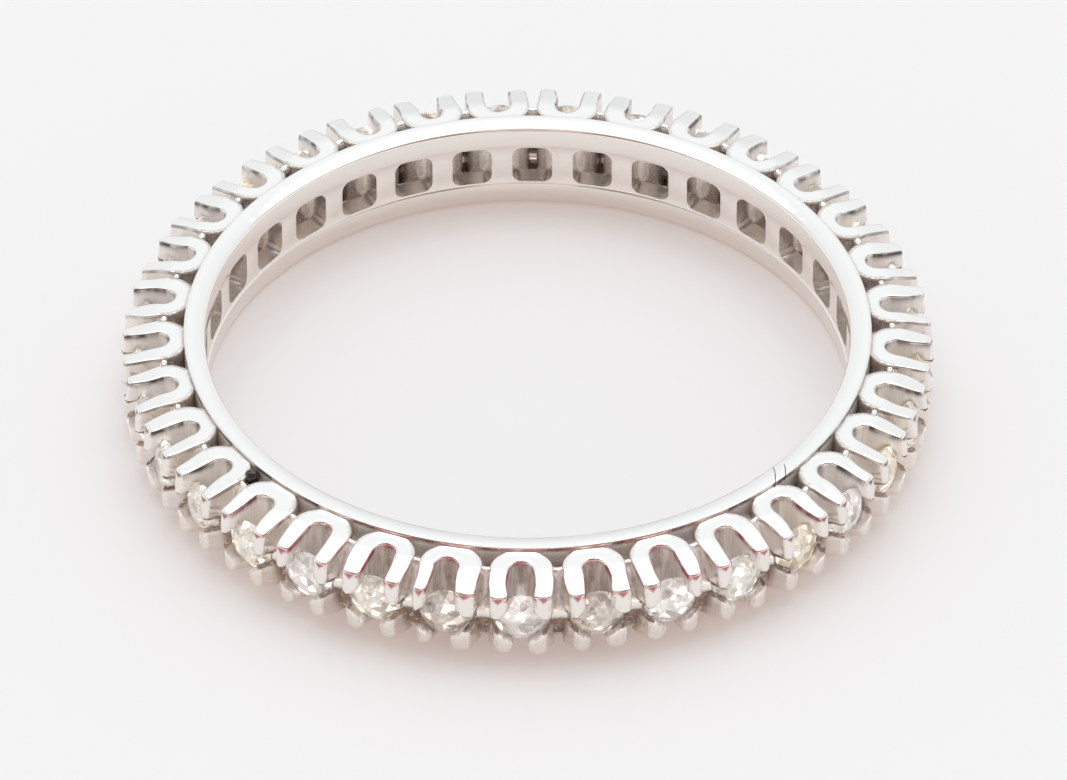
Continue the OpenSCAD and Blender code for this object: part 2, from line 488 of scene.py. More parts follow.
@dataclass(frozen=True)
class PaintedGlowCard(Finish):
    """Smooth matt white card with a painted warm glow, though it is no lamp: the glow lifts and
    warms the shade round the ring.

    Its fine grain is too small to see at this size, so it is drawn coarser.
    """

    name: str = "card_with_painted_glow"
    # The card's colour is cool and its painted glow warm, so the lit card is white and its shade warm.
    colour: str = "#D8E1E5"
    glow: str = "#89746C"
    roughness: float = 0.8
    gloss: float = 0.2
    grain_mm: float = 0.5
    grain_relief: tuple[float, float] = (0.05, 0.02)

    def shader(self, tree: bpy.types.NodeTree) -> bpy.types.Node:
        """Adds the nodes of the finish.

        Args:
            tree: the material's node tree.

        Returns:
            The shader.
        """
        place = add_node(tree, "TexCoord").outputs["Object"]
        grain = add_node(
            tree, "TexNoise", {"Vector": place, "Scale": scale_of(self.grain_mm), "Detail": 4.0}
        ).outputs["Fac"]
        strength, depth_mm = self.grain_relief
        feeds = {"Height": grain, "Strength": strength, "Distance": depth_mm * MM}
        return add_node(
            tree,
            "BsdfPrincipled",
            {
                "Base Color": linear(self.colour),
                "Roughness": self.roughness,
                "Specular IOR Level": self.gloss,
                # The card's painted glow.
                "Emission Color": linear(self.glow),
                "Emission Strength": 1.0,
                "Normal": add_node(tree, "Bump", feeds).outputs["Normal"],
            },
        )


@dataclass(frozen=True)
class BurntFlux(Finish):
    """Burnt soldering flux: a hard black glass, brown where it is thin."""

    name: str = "burnt_flux"
    thick: str = "#15100F"
    thin: str = "#493730"
    roughness: float = 0.03
    refraction: float = 1.6
    patch_mm: float = 0.12
    thinness: tuple[float, float] = (0.45, 0.7)
    relief: tuple[float, float] = (0.1, 0.012)

    def shader(self, tree: bpy.types.NodeTree) -> bpy.types.Node:
        """Adds the nodes of the finish.

        Args:
            tree: the material's node tree.

        Returns:
            The shader.
        """
        place = add_node(tree, "TexCoord").outputs["Object"]
        patches = add_node(
            tree, "TexNoise", {"Vector": place, "Scale": scale_of(self.patch_mm), "Detail": 2.0}
        ).outputs["Fac"]
        thin = add_node(tree, "MapRange", (patches, *self.thinness)).outputs[0]
        colours = {FACTOR: thin, COLOUR_A: linear(self.thick), COLOUR_B: linear(self.thin)}
        strength, depth_mm = self.relief
        feeds = {"Height": patches, "Strength": strength, "Distance": depth_mm * MM}
        return add_node(
            tree,
            "BsdfPrincipled",
            {
                "Base Color": add_node(tree, "Mix", colours, data_type="RGBA").outputs[COLOUR_OUT],
                "Roughness": self.roughness,
                "IOR": self.refraction,
                "Normal": add_node(tree, "Bump", feeds).outputs["Normal"],
            },
        )


class Draft:
    """A mesh in the making: points in millimetres, faces, and what each point holds for the finish."""

    def __init__(self) -> None:
        """Starts an empty mesh."""
        self._points: list[np.ndarray] = []
        self._stains_and_shade: list[np.ndarray] = []
        self._claws: list[np.ndarray] = []
        self._faces: list[np.ndarray] = []
        self._count = 0

    def grid(
        self,
        points: np.ndarray,
        closed: bool = False,
        stains_and_shade: np.ndarray | tuple[float, float, float] = (0.0, 0.0, 0.0),
        claws: np.ndarray | None = None,
    ) -> None:
        """Adds a surface of four-sided faces.

        Args:
            points: rows by columns by three.
            closed: whether the last column joins the first.
            stains_and_shade: compound with painted edge shade, grime with painted shade, and cast skin, one
                for all points or rows by columns by three.
            claws: place in the nick, rows by columns by three, or none away from the claws.
        """
        rows, columns = points.shape[:2]
        index = np.arange(rows * columns).reshape(rows, columns) + self._count
        across = np.concatenate([index, index[:, :1]], axis=1) if closed else index
        quads = np.stack([across[:-1, :-1], across[:-1, 1:], across[1:, 1:], across[1:, :-1]], axis=-1)
        self._points.append(points.reshape(-1, 3))
        self._stains_and_shade.append(np.broadcast_to(stains_and_shade, points.shape).reshape(-1, 3))
        self._claws.append(np.zeros((rows * columns, 3)) if claws is None else claws.reshape(-1, 3))
        self._faces.append(quads.reshape(-1, 4))
        self._count += rows * columns

    def piece(
        self, name: str, finish: bpy.types.Material, sharp_deg: float = 40.0
    ) -> bpy.types.Object:
        """Turns the mesh into a piece of the ring.

        Args:
            name: the piece's name.
            finish: its material.
            sharp_deg: edges that turn by more than this stay sharp.

        Returns:
            The new object, which rides with the ring.
        """
        mesh = bpy.data.meshes.new(name)
        points = np.concatenate(self._points) + np.array([0, 0, SIZES.half_h])
        mesh.from_pydata((points * MM).tolist(), [], np.concatenate(self._faces).tolist())
        for attribute, values in ((STAINS_AND_SHADE, self._stains_and_shade), (CLAW_PLACE, self._claws)):
            mesh.attributes.new(attribute, "FLOAT_VECTOR", "POINT").data.foreach_set(
                "vector", np.concatenate(values).astype(np.float32).ravel()
            )
        work = bmesh.new()
        work.from_mesh(mesh)
        bmesh.ops.remove_doubles(work, verts=work.verts, dist=MERGE_MM * MM)
        bmesh.ops.dissolve_degenerate(work, edges=work.edges, dist=MERGE_MM * MM)
        bmesh.ops.recalc_face_normals(work, faces=work.faces)
        work.to_mesh(mesh)
        work.free()
        mesh.shade_smooth()
        mesh.set_sharp_from_angle(angle=math.radians(sharp_deg))
        mesh.materials.append(finish)
        made = bpy.data.objects.new(name, mesh)
        bpy.context.scene.collection.objects.link(made)
        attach(made, "root")
        LOG.info("%s: %d faces", name, len(mesh.polygons))
        return made


def turned(radial: np.ndarray, across: np.ndarray, z: np.ndarray, angle: float) -> np.ndarray:
    """Places points that are given beside a direction.

    Args:
        radial: distance along the direction.
        across: distance to its left, seen from above.
        z: height above the middle plane.
        angle: the direction in radians.

    Returns:
        The points, in an array with one more axis of three.
    """
    c, s = math.cos(angle), math.sin(angle)
    return np.stack([radial * c - across * s, radial * s + across * c, z], axis=-1)


def rounding(inside: np.ndarray | float, radius: float) -> np.ndarray:
    """How far a rounded corner stands back from its sharp one.

    Args:
        inside: distance from the corner along one side.
        radius: the corner's radius.

    Returns:
        The distance back, which is zero past the radius.
    """
    near = np.clip(radius - np.asarray(inside, float), 0, radius)
    return radius - np.sqrt(radius**2 - near**2)


def share_of(value: np.ndarray | float, start: float, end: float) -> np.ndarray:
    """How far a value has come from a start to an end.

    Args:
        value: the value, or many.
        start: where the share is zero.
        end: where the share is one.

    Returns:
        The share, which stays between zero and one.
    """
    return np.clip((value - start) / (end - start), 0, 1)


@dataclass
class Hoop:
    """The two rails and the pierced wall between them, which bound the finger hole.

    The rail's rows run round its section from the finger hole to its outer face. Each has its
    distance from the ring's axis, its height, its compound with painted edge shade and its share of
    cast skin.
    """

    window_steps: int = 5
    bar_steps: int = 6
    wall_steps: int = 3
    bar_bulge: float = 0.03
    bulge_top: float = 0.5
    inner_skin: float = 0.3
    window_skin: float = 0.2
    bar_skin: float = 0.1
    rail: tuple[tuple[float, float, float, float], ...] = (
        (8.55, 0.605, 0.0, 0.2),
        (8.535, 0.63, 0.0, 0.0),
        (8.505, 0.65, 0.0, 0.0),
        (8.5, 0.67, 0.0, 0.0),
        (8.5, 0.95, 0.0, 0.0),
        (8.5, 1.13, 0.0, 0.0),
        (8.506, 1.17, 0.0, 0.0),
        (8.522, 1.2, 0.0, 0.0),
        (8.552, 1.222, 0.0, 0.0),
        (8.61, 1.243, 0.0, 0.0),
        (8.73, 1.272, 0.0, 0.0),
        (8.85, 1.292, 0.0, 0.0),
        (8.93, 1.3, 0.0, 0.0),
        (9.0, 1.297, 0.0, 0.0),
        (9.045, 1.285, 0.0, 0.0),
        # Compound and painted edge shade along the rail's outer top edge.
        (9.068, 1.265, 0.5, 0.0),
        (9.07, 1.23, 0.8, 0.2),
        (9.07, 1.18, 0.3, 0.4),
        (9.07, 1.12, 0.0, 0.8),
        (9.07, 0.85, 0.0, 0.8),
    )

    def _opening(self) -> list[tuple[float, float]]:
        """Half of a window's outline, from its side to the middle of its top.

        Returns:
            Distance from the window's middle and height above the middle plane, for each point.
        """
        s = SIZES
        side, top = s.window_half_w - s.window_corner_r, s.window_half_h - s.window_corner_r
        corner = [
            (
                side + s.window_corner_r * math.cos(math.pi / 2 * k / self.window_steps),
                top + s.window_corner_r * math.sin(math.pi / 2 * k / self.window_steps),
            )
            for k in range(self.window_steps + 1)
        ]
        return corner + [(side / 2, s.window_half_h), (0.0, s.window_half_h)]

    def build(self, finish: bpy.types.Material) -> bpy.types.Object:
        """Builds the hoop and dresses it.

        Args:
            finish: the metal.

        Returns:
            The piece.
        """
        s = SIZES
        draft = Draft()
        rail_r, rail_z, compound_and_edge_shade, skin = np.array(self.rail).T
        wall_r = s.bore_r + s.wall_inset
        opening = self._opening()
        window = opening + [(-x, z) for x, z in opening[-2::-1]]
        side_z = opening[0][1]
        soffit = np.linspace(s.rail_r, wall_r, self.wall_steps + 1)[1:-1]
        across = np.concatenate([[s.rail_r], soffit, [wall_r]])
        bar_z = np.array([0, side_z / 2, side_z])
        dull = np.full(len(soffit) + 1, self.inner_skin)
        over = np.stack(
            [
                np.concatenate([[0], compound_and_edge_shade, 0 * dull]),
                np.zeros(len(rail_r) + len(dull) + 1),
                np.concatenate([[self.window_skin], skin, dull]),
            ],
            axis=-1,
        )
        bar_ends = [np.tile([0, 0, share], (len(bar_z), 1)) for share in (self.bar_skin, self.inner_skin)]
        beside = np.concatenate([bar_ends[0], over[1 : 1 + len(rail_r)], bar_ends[1]])
        for number in range(1, s.cells + 1):
            groove = s.cell_angle(number + 0.5)
            for flip in (1, -1):
                rows = []
                for x, z in window:
                    r = np.concatenate([[wall_r], rail_r, [s.rail_r], soffit])
                    h = np.concatenate([[z], rail_z, [z], np.full(len(soffit), z)])
                    a = groove + np.arcsin(x / r)
                    rows.append(np.stack([r * np.cos(a), r * np.sin(a), flip * h], axis=-1))
                draft.grid(np.array(rows), True, np.tile(over, (len(window), 1, 1)))
                rows = []
                for share in np.linspace(0, 1, self.bar_steps + 1):
                    pillow = 4 * share * (1 - share) * self.bar_bulge
                    inner = wall_r - pillow * (1 - share_of(bar_z, 0, self.bulge_top)) ** 0.5
                    r = np.concatenate([inner, rail_r, [s.rail_r] * len(bar_z)])
                    h = np.concatenate([bar_z, rail_z, bar_z[::-1]])
                    jamb_r = np.where((h <= side_z) & (r < s.rail_r), wall_r, r)
                    edge = np.arcsin(s.window_half_w / jamb_r)
                    a = groove + edge + (s.pitch - 2 * edge) * share
                    rows.append(np.stack([r * np.cos(a), r * np.sin(a), flip * h], axis=-1))
                draft.grid(np.array(rows), False, np.tile(beside, (len(rows), 1, 1)))
                for side in (1, -1):
                    a = groove + side * np.arcsin(s.window_half_w / across)
                    x, y = across * np.cos(a), across * np.sin(a)
                    jamb = [np.stack([x, y, np.full(len(across), flip * h)], axis=-1) for h in bar_z]
                    draft.grid(np.array(jamb), False, (0.0, 0.0, self.inner_skin))
        return draft.piece("hoop", finish)


@dataclass
class Hand:
    """What a maker's hand and wear changed on one cell, from the plain sizes.

    Turn is in radians, aside is 0 at the front and the back of the ring and 1 at its sides, and all
    others are in millimetres. Pairs are for the left and the right leg. A nick is given as the half
    width and the height of its three-cornered mark.
    """

    turn: float = 0.0
    notch_shift: float = 0.0
    notch_scale: float = 1.0
    notch_back: float = 0.0
    crease_r: float = 0.0
    crease_z: tuple[float, float] = (0.0, 0.0)
    nick_half_w: tuple[float, float] = (0.17, 0.17)
    nick_h: tuple[float, float] = (0.13, 0.13)
    taper: float = 0.0
    waver: tuple[float, float] = (0.0, 0.0)
    aside: float = 0.0

    @classmethod
    def drawn(cls, rng: random.Random) -> "Hand":
        """Draws one cell's differences.

        Args:
            rng: the seeded source of chance.

        Returns:
            The differences.
        """
        return cls(
            turn=rng.gauss(0, 0.0016),
            notch_shift=rng.gauss(0, 0.02),
            notch_scale=rng.uniform(0.9, 1.02),
            notch_back=rng.gauss(0, 0.02),
            crease_r=rng.gauss(0, 0.012),
            crease_z=(rng.gauss(0, 0.018), rng.gauss(0, 0.018)),
            nick_half_w=(rng.uniform(0.14, 0.22), rng.uniform(0.14, 0.22)),
            nick_h=(rng.uniform(0.13, 0.2), rng.uniform(0.13, 0.2)),
        )


@dataclass
class Loop:
    """One closed loop of points round a cell wall's section.

    Share runs from 0 at the slot to 1 at the outside. Side is the inset from that face, or -1 on the
    face itself. Code says how a height is found: EDGE at the top and its edges, 1 to 2 for a share of
    the wall above the tips, less for a plain height, and the same below with a minus sign. Fall is
    the drop from the top or the rise from the bottom. Stains are compound with painted edge shade,
    grime with painted shade, and cast skin.
    """

    share: np.ndarray
    side: np.ndarray
    code: np.ndarray
    fall: np.ndarray
    stains_and_shade: np.ndarray

    @property
    def flat(self) -> np.ndarray:
        """Which points lie on the top or the bottom, between its rounded edges."""
        return (self.share > 0) & (self.share < 1)

    @property
    def on_face(self) -> np.ndarray:
        """Which points lie on a face, between its rounded edges."""
        return self.side < 0

    def across(
        self, near: np.ndarray, far: np.ndarray, margin: np.ndarray | float, inset: np.ndarray
    ) -> np.ndarray:
        """Spreads the points between the wall's faces.

        Args:
            near: where the slot's face lies.
            far: where the outside lies.
            margin: how much of the top or the bottom each rounded edge takes.
            inset: how far the other points stand back from their face.

        Returns:
            Where the points lie, measured like the faces.
        """
        between = near + margin + self.share * (far - near - 2 * margin)
        return np.where(self.flat, between, np.where(self.share < 0.5, near + inset, far - inset))


@dataclass
class Surface:
    """A grid of points, what they hold for the finish, and whether its last column joins its first."""

    points: np.ndarray
    stains_and_shade: np.ndarray
    claws: np.ndarray
    closed: bool

    @property
    def arrays(self) -> tuple[np.ndarray, np.ndarray, np.ndarray]:
        """The points, their stains with painted shade, and their places in the nicks."""
        return self.points, self.stains_and_shade, self.claws


@dataclass
class CrownCells:
    """The cells of the crown. Each is a wall bent to a U, whose legs end in an upper and a lower claw.

    Lengths are in millimetres. Pairs named for a place are a start and an end. The seat's rows are
    the distance from the ring's axis and the half width that its stone needs there.
    """

    edge_r: float = 0.06
    edge_middle: float = 0.6
    tip_edge_r: float = 0.16
    tip_edge_l: float = 0.2
    tip_round_r: float = 0.04
    tip_play: float = 0.01
    slot_tip_share: float = 0.6
    low_edge_r: float = 0.23
    low_end_r: float = 0.08
    low_end_h: float = 0.3
    low_drop: float = 0.03
    low_side: float = 0.1
    low_side_depth: tuple[float, float] = (0.05, 0.3)
    low_side_r: tuple[float, float] = (9.9, 10.5)
    low_dome: float = 0.06
    low_dome_depth: tuple[float, float] = (0.46, 0.21)
    shoulder_power: float = 2.6
    squeeze: float = 0.45
    side_taper: float = 0.07
    waver: float = 0.022
    waves: tuple[float, float] = (1.6, 1.3)
    sag: float = 0.045
    break_soft: float = 0.03
    fillet_h: float = 0.035
    fillet_l: float = 0.12
    slot_blend: tuple[float, float] = (-0.2, 0.1)
    back_embed: float = 0.05
    back_crowding: float = 0.08
    reach_limit: float = 2.0
    halvings: int = 40
    across_steps: int = 4
    corner_steps: int = 3
    back_steps: int = 18
    end_steps: int = 3
    leg_places: tuple[float, ...] = (0.0, 0.12, 0.26, 0.4, 0.49, 0.56, 0.62, 0.68, 0.77, 0.89, 1.0)
    levels: tuple[float, ...] = (0.95, 0.84, 0.7, 0.46, 0.22, 0.0)
    level_base: float = 0.3
    gap_levels: tuple[float, ...] = (0.25, 0.21, 0.13)
    gap_h: float = 0.3
    seat: tuple[tuple[float, float], ...] = (
        (9.665, 0.04),
        (10.215, 0.73),
        (10.325, 0.73),
        (10.434, 0.57),
        (11.0, 0.57),
    )
    edge_codes: tuple[float, float] = (1.9, 1.8)
    # How much compound and painted edge shade lies along the edges: beside the slot, on the flank and round
    # the back.
    edge_lines: tuple[float, float] = (0.8, 0.3)
    edge_wear: float = 0.7
    line_reach: float = 1.5
    flank_line: float = 0.7
    # Grime and painted shade on the slot's lower part, under the stone.
    slot_grime_and_shade: float = 0.35
    slot_grime_and_shade_code: float = 1.3
    # A painted dark reflection of the lens, in the grime's brown, at the back of the slot's upper face.
    slot_lens_reflection: float = 0.5
    slot_lens_reflection_code: float = 1.2
    slot_lens_reflection_reach: tuple[float, float] = (0.88, 0.98)
    # Grime and painted shade in the recess between the upper and lower claws.
    gap_grime_and_shade: float = 0.9
    gap_skin: float = 0.8
    flank_skin: float = 0.6
    flank_wear: float = 0.6
    # Grime and painted shade on the lower outside of each leg, fading away from the back.
    low_grime_and_shade_l: float = 0.6
    back_line: float = 0.3
    # Darkens the outside of each cell's back with the grime's brown, more for cells towards the ring's
    # sides.
    back_darkening: float = 0.6
    back_wear: float = 0.5
    clear_of_claws: float = 9.0
    sharp_deg: float = 50.0
    by_hand: dict[int, dict[str, Any]] = field(
        default_factory=lambda: {
            30: {"notch_back": 0.12, "taper": 0.06},
            33: {"notch_shift": -0.1},
        }
    )

    def top(self, r: np.ndarray, crease_r: float, crease_z: float) -> np.ndarray:
        """Height of a cell's top: a fillet of solder at the rail, a flat, and the sloping leg.

        Args:
            r: distances from the ring's axis.
            crease_r: where the leg's top ends.
            crease_z: how high it ends.

        Returns:
            The heights.
        """
        s = SIZES
        break_r, break_z = s.rail_r + s.leg_flat_l, s.apex_z - s.leg_flat_drop
        flat = s.apex_z - s.leg_flat_drop * (r - s.rail_r) / s.leg_flat_l
        slope = break_z + (crease_z - break_z) * (r - break_r) / (crease_r - break_r)
        near = np.clip(self.break_soft - np.abs(flat - slope), 0, None) / self.break_soft
        fillet = self.fillet_h * (1 - share_of(r, s.rail_r, s.rail_r + self.fillet_l)) ** 2
        return np.minimum(flat, slope) - near**2 * self.break_soft / 4 + fillet

    def outer(self, r: np.ndarray, z: np.ndarray, taper: float = 0.0) -> np.ndarray:
        """Half width of a cell's outside, with its shoulders and the rounded corners of its tips.

        Args:
            r: distances from the ring's axis.
            z: heights above the middle plane.
            taper: how much narrower its tips are.

        Returns:
            The half widths.
        """
        s = SIZES
        along = share_of(r, s.rail_r, s.rail_r + s.shoulder_l)
        width = s.cell_half_w - (s.cell_half_w - s.apex_half_w) * (1 - along) ** self.shoulder_power
        lower = share_of(-z, *self.low_side_depth) * share_of(r, *self.low_side_r) ** 2
        narrowing = taper * share_of(r, s.notch_r, s.tip_r) ** 2
        return width - self._tip_corner(r, z) - self.low_side * lower - narrowing

    def inner(self, r: np.ndarray, z: np.ndarray, hand: Hand) -> np.ndarray:
        """Half width of a cell's slot, opened to the seat of its stone.

        Args:
            r: distances from the ring's axis.
            z: heights above the middle plane.
            hand: the cell's differences.

        Returns:
            The half widths.
        """
        s = SIZES
        along = (r - s.notch_r) / (s.tip_r - s.notch_r)
        slot = self._slot((s.notch_half_w + (s.mouth_half_w - s.notch_half_w) * along) * hand.notch_scale, z)
        slot = slot + hand.taper * np.clip(along, 0, 1) ** 2
        seat_r = np.interp(r, *zip(*self.seat))
        seat = np.sqrt(np.clip(seat_r**2 - z**2, 0, None))
        return np.maximum(slot, seat) + self.slot_tip_share * self._tip_corner(r, z)

    def _tip_corner(self, r: np.ndarray, z: np.ndarray) -> np.ndarray:
        """How far the corners of the claws' tips stand back, from distance and height."""
        reach = share_of(r, SIZES.side_wall_r, SIZES.side_wall_r + self.tip_edge_l)
        return rounding(np.abs(z) - SIZES.tip_z, self.tip_edge_r) * reach

    def _slot(self, upper: np.ndarray | float, z: np.ndarray) -> np.ndarray:
        """Half width of a slot, from the one between the upper legs to that between the lower ones."""
        low = SIZES.low_notch_half_w
        return low + (upper - low) * share_of(z, *self.slot_blend)

    def side_codes(self) -> list[float]:
        """Codes of the points down one side of the wall, without its corners."""
        codes = [1 + v for v in self.levels] + list(self.gap_levels)
        return codes + [0.0] + [-c for c in reversed(codes)]

    def _corner(
        self, share: float, code: float, radius: float, inset: float, line: float
    ) -> list[tuple[float, ...]]:
        """The points of a rounded edge, from the top or the bottom to a face.

        Args:
            share: 0 at the slot or 1 at the outside.
            code: EDGE at the top, or the same with a minus sign at the bottom.
            radius: the edge's radius.
            inset: how far the rounding of the leg's end has drawn it in.
            line: how much compound and painted edge shade lies along it.

        Returns:
            A row for each point: share, side, code, fall, compound with painted edge shade, grime with
            painted shade, and cast skin.
        """
        rows = []
        for turn in np.linspace(0, math.pi / 2, self.corner_steps + 1):
            side = inset + (radius - inset) * (1 - math.sin(turn))
            fall = inset + (radius - inset) * (1 - math.cos(turn))
            compound_and_edge_shade = line * min(1.0, self.line_reach * math.sin(turn))
            rows.append((share, side, code, fall, compound_and_edge_shade, 0.0, 0.0))
        return rows

    def _face(self, share: float) -> list[tuple[float, ...]]:
        """The points down a face, between its rounded edges.

        Args:
            share: 0 at the slot or 1 at the outside.

        Returns:
            A row for each point: share, side, code, fall, compound with painted edge shade, grime with
            painted shade, and cast skin.
        """
        rows = []
        beside, near = self.edge_codes
        for code in self.side_codes():
            size = abs(code)
            if share == 0:
                line = self.edge_lines[0] if code > beside else self.edge_lines[1] if code > near else 0.0
                # Grime and painted shade on the slot's lower part, under the stone.
                grime_and_shade = self.slot_grime_and_shade if code < 0 and size < self.slot_grime_and_shade_code else 0.0
                skin = 1.0
            else:
                line = 0.0
                # Grime and painted shade in the recess between the claws.
                grime_and_shade = self.gap_grime_and_shade if size < self.gap_h else 0.0
                skin = self.flank_skin
            worn = self.edge_wear if size > beside else 1
            rows.append((share, -1.0, code, 0.0, line, grime_and_shade, skin * worn))
        return rows

    def loop(self, ease: float, low_r: float) -> Loop:
        """Builds the loop for one place along the wall.

        Args:
            ease: 0 in the run of the wall, rising to 1 where the end's edges are fully rounded.
            low_r: radius of the lower edges.

        Returns:
            The loop.
        """
        spread = [k / (self.across_steps + 1) for k in range(1, self.across_steps + 1)]
        inset, low_inset = self.edge_r * ease, min(low_r, self.low_end_r) * ease
        rows = [(1 - share, 0.0, EDGE, inset, 0.0, 0.0, 0.0) for share in spread]
        rows += self._corner(0.0, EDGE, self.edge_r, inset, 1.0)
        rows += self._face(0.0)
        rows += self._corner(0.0, -EDGE, low_r, low_inset, 0.0)[::-1]
        rows += [(share, 0.0, -EDGE, low_inset, 0.0, 0.0, 0.0) for share in spread]
        rows += self._corner(1.0, -EDGE, low_r, low_inset, 0.0)
        rows += self._face(1.0)[::-1]
        rows += self._corner(1.0, EDGE, self.edge_r, inset, self.flank_line)[::-1]
        table = np.array(rows)
        return Loop(*table[:, :4].T, stains_and_shade=table[:, 4:])

    def height(
        self, code: np.ndarray, top: np.ndarray, fall: np.ndarray, low_r: float, drop: float = 0.0
    ) -> np.ndarray:
        """Height of each point of a loop above the middle plane.

        Args:
            code: the points' codes.
            top: the wall's top at each point.
            fall: drop from the top or rise from the bottom.
            low_r: radius of the lower edges.
            drop: how much lower the bottom lies than the top's mirror image.

        Returns:
            The heights.
        """
        size = np.abs(code)
        edge = np.where(code > 0, self.edge_r, low_r)
        top = np.where(code > 0, top, top + drop)
        shared = self.level_base + (size - 1) * (top - edge - self.level_base)
        return np.sign(code) * np.where(size == EDGE, top - fall, np.where(size >= 1, shared, size))

    def low_r(self, along: float) -> float:
        """Radius of the lower edges, which grows towards the lower claws."""
        return self.edge_r + (self.low_edge_r - self.edge_r) * along**2

    def end_edge(self, z: np.ndarray) -> np.ndarray:
        """Radius of the edges round a claw's front face, from the height above the middle plane."""
        blend = share_of(-z, SIZES.tip_z, SIZES.tip_z + self.low_end_h)
        return self.edge_r + (self.low_end_r - self.edge_r) * blend

    def _reach(self, angle: float) -> float:
        """Distance from the slot's round end to the cell's outside.

        Args:
            angle: the direction, from outwards.

        Returns:
            The distance.
        """
        s = SIZES
        low, high = 0.0, self.reach_limit
        for _ in range(self.halvings):
            middle = (low + high) / 2
            r, t = s.notch_r + middle * math.cos(angle), middle * math.sin(angle)
            width = float(self.outer(np.array([max(r, s.rail_r)]), np.array([1.0]))[0])
            inside = r > s.rail_r - self.back_embed and abs(t) < width
            low, high = (middle, high) if inside else (low, middle)
        return low

    def _back(self, hand: Hand) -> Surface:
        """The round back of a cell, from one leg to the other.

        Args:
            hand: the cell's differences.

        Returns:
            The surface of the back.
        """
        s = SIZES
        rows, stains_and_shade = [], []
        crease_r, crease_z = s.crease_r + hand.crease_r, s.crease_z + sum(hand.crease_z) / 2
        loop = self.loop(0.0, self.edge_r)
        outside = loop.share == 1
        inset = np.where(loop.on_face, 0.0, loop.side)
        level = np.where(loop.code > 0, 1.0, -1.0) * np.where(np.abs(loop.code) < 1, np.abs(loop.code), 1.0)
        # The slot's upper face, which carries the painted lens reflection.
        streaks_and_painted_reflection = (loop.code > self.slot_lens_reflection_code) & (loop.share == 0) & loop.on_face
        for k in range(self.back_steps + 1):
            share = k / self.back_steps
            angle = math.pi * (0.5 + share - self.back_crowding * math.sin(2 * math.pi * share))
            towards_rail = max(0.0, -math.cos(angle))
            near = self._slot(s.notch_half_w * hand.notch_scale - hand.notch_back * towards_rail, level)
            reach = loop.across(near, self._reach(angle), self.edge_r, inset)
            r, t = s.notch_r + reach * math.cos(angle), reach * math.sin(angle)
            z = self.height(loop.code, self.top(r, crease_r, crease_z), loop.fall, self.edge_r)
            rows.append(np.stack([r, t + hand.notch_shift * (1 - loop.share), z], axis=-1))
            # Compound and painted edge shade round the back, strongest towards the rail.
            line = self.back_line + (1 - self.back_line) * towards_rail**4
            stained_and_shaded = loop.stains_and_shade * np.array([line, 1.0, 1.0])
            # The outside of the back darkens with the grime's brown, more towards the ring's sides.
            stained_and_shaded[outside, 1] = self.back_darkening * hand.aside
            stained_and_shaded[outside, 2] *= 1 - self.back_wear * hand.aside
            # Painted dark reflection of the lens at the back of the slot.
            stained_and_shaded[streaks_and_painted_reflection, 1] = self.slot_lens_reflection * share_of(towards_rail, *self.slot_lens_reflection_reach)
            stains_and_shade.append(stained_and_shaded)
        claws = np.broadcast_to([0.0, -self.clear_of_claws, 0.0], np.shape(rows))
        return Surface(np.array(rows), np.array(stains_and_shade), claws, True)

    def build(self, finish: bpy.types.Material, rng: random.Random) -> bpy.types.Object:
        """Builds all the cells and dresses them.

        Args:
            finish: the metal.
            rng: the seeded source of each cell's differences.

        Returns:
            The piece.
        """
        draft = Draft()
        for number in range(1, SIZES.cells + 1):
            aside = abs(math.cos(SIZES.cell_angle(number)))
            wobble = random.Random(number)
            hand = replace(
                Hand.drawn(rng),
                taper=self.side_taper * aside,
                aside=aside,
                waver=(wobble.gauss(0, self.waver), wobble.gauss(0, self.waver)),
            )
            hand = replace(hand, **self.by_hand.get(number, {}))
            left, right = Leg(self, hand, 1), Leg(self, hand, -1)
            wall = zip(left.run().arrays, self._back(hand).arrays, right.run().arrays)
            joined = [np.concatenate([one[::-1], back[1:-1], other]) for one, back, other in wall]
            for surface in (Surface(*joined, True), left.front(), right.front()):
                radial, across, z = np.moveaxis(surface.points, -1, 0)
                placed = turned(radial, across, z, SIZES.cell_angle(number) + hand.turn)
                draft.grid(placed, surface.closed, surface.stains_and_shade, surface.claws)
        return draft.piece("crown_cells", finish, self.sharp_deg)


